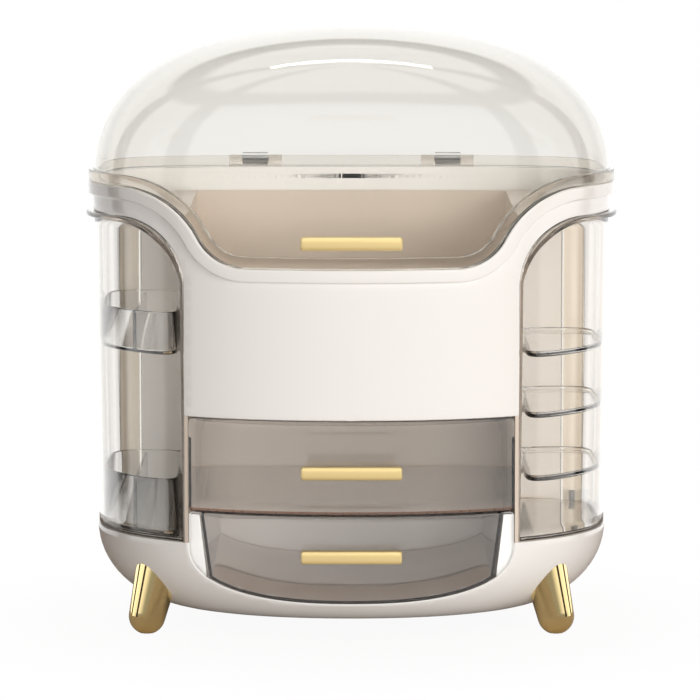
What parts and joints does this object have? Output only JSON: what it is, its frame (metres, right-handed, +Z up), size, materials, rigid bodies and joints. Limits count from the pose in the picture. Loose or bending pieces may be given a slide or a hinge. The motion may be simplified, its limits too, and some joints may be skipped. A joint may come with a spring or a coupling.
{
  "type": "makeup organizer",
  "caption": "Dustproof makeup organizer: white cabinet on splayed gold legs, clear hinged dome lid, sliding drawers and clear swinging side doors with tiers.",
  "frame": {"origin": "centre of the whole box's footprint, on the table under the feet", "axes": "+X to the right as seen from the front, +Y to the back, +Z up; the drawers open towards -Y"},
  "size_m": [0.332, 0.2474, 0.3733],
  "materials": {
    "white_plastic": "moulded gloss",
    "gold_plating": "gold-plated ABS, polished",
    "steel": "zinc plated",
    "clear_lid": "clear, polished, faint tea tint",
    "clear_drawer": "clear, polished",
    "tinted_tub": "taupe tinted, polished",
    "smoke_tub": "smoke tinted, polished",
    "tea_door": "tea tinted, polished",
    "tea_tier": "tea tinted, polished"
  },
  "bodies": {
    "cabinet": {"base_pan": "white_plastic", "leg_front_left": "gold_plating", "leg_front_right": "gold_plating", "leg_rear_left": "gold_plating", "leg_rear_right": "gold_plating", "leg_screws": "steel", "column": "white_plastic", "drawer_shelf": "tinted_tub", "body_shell": "white_plastic", "top_tray": "white_plastic", "deck_screws": "steel", "case_screws": "steel", "lid_hinge_pins": "steel", "left_door_pins": "steel", "right_door_pins": "steel"},
    "lid": {"lid_dome": "clear_lid", "lid_handle": "gold_plating", "lid_handle_screws": "steel"},
    "upper_drawer": {"upper_drawer_front": "clear_drawer", "upper_drawer_tub": "tinted_tub", "upper_drawer_handle": "gold_plating", "upper_handle_screws": "steel"},
    "lower_drawer": {"lower_drawer_front": "clear_drawer", "lower_drawer_tub": "smoke_tub", "lower_drawer_handle": "gold_plating", "lower_handle_screws": "steel"},
    "left_door": {"left_door_shell": "tea_door", "left_tier_lower": "tea_tier", "left_tier_upper": "tea_tier"},
    "right_door": {"right_door_shell": "tea_door", "right_shelf_low": "tea_tier", "right_shelf_mid": "tea_tier", "right_shelf_high": "tea_tier"}
  },
  "joints": [
    {"name": "lid_hinge", "type": "hinge", "parent": "cabinet", "child": "lid", "pos_m": [0, 0.1197, 0.2803], "axis": [-1, 0, 0], "range_deg": [0, 95]},
    {"name": "upper_drawer_slide", "type": "slide", "parent": "cabinet", "child": "upper_drawer", "axis": [0, -1, 0], "range_m": [0, 0.14]},
    {"name": "lower_drawer_slide", "type": "slide", "parent": "cabinet", "child": "lower_drawer", "axis": [0, -1, 0], "range_m": [0, 0.14]},
    {"name": "left_door_hinge", "type": "hinge", "parent": "cabinet", "child": "left_door", "pos_m": [-0.14291, 0.0823, 0.16], "axis": [0, 0, -1], "range_deg": [0, 90]},
    {"name": "right_door_hinge", "type": "hinge", "parent": "cabinet", "child": "right_door", "pos_m": [0.14291, 0.0823, 0.16], "axis": [0, 0, 1], "range_deg": [0, 90]}
  ]
}
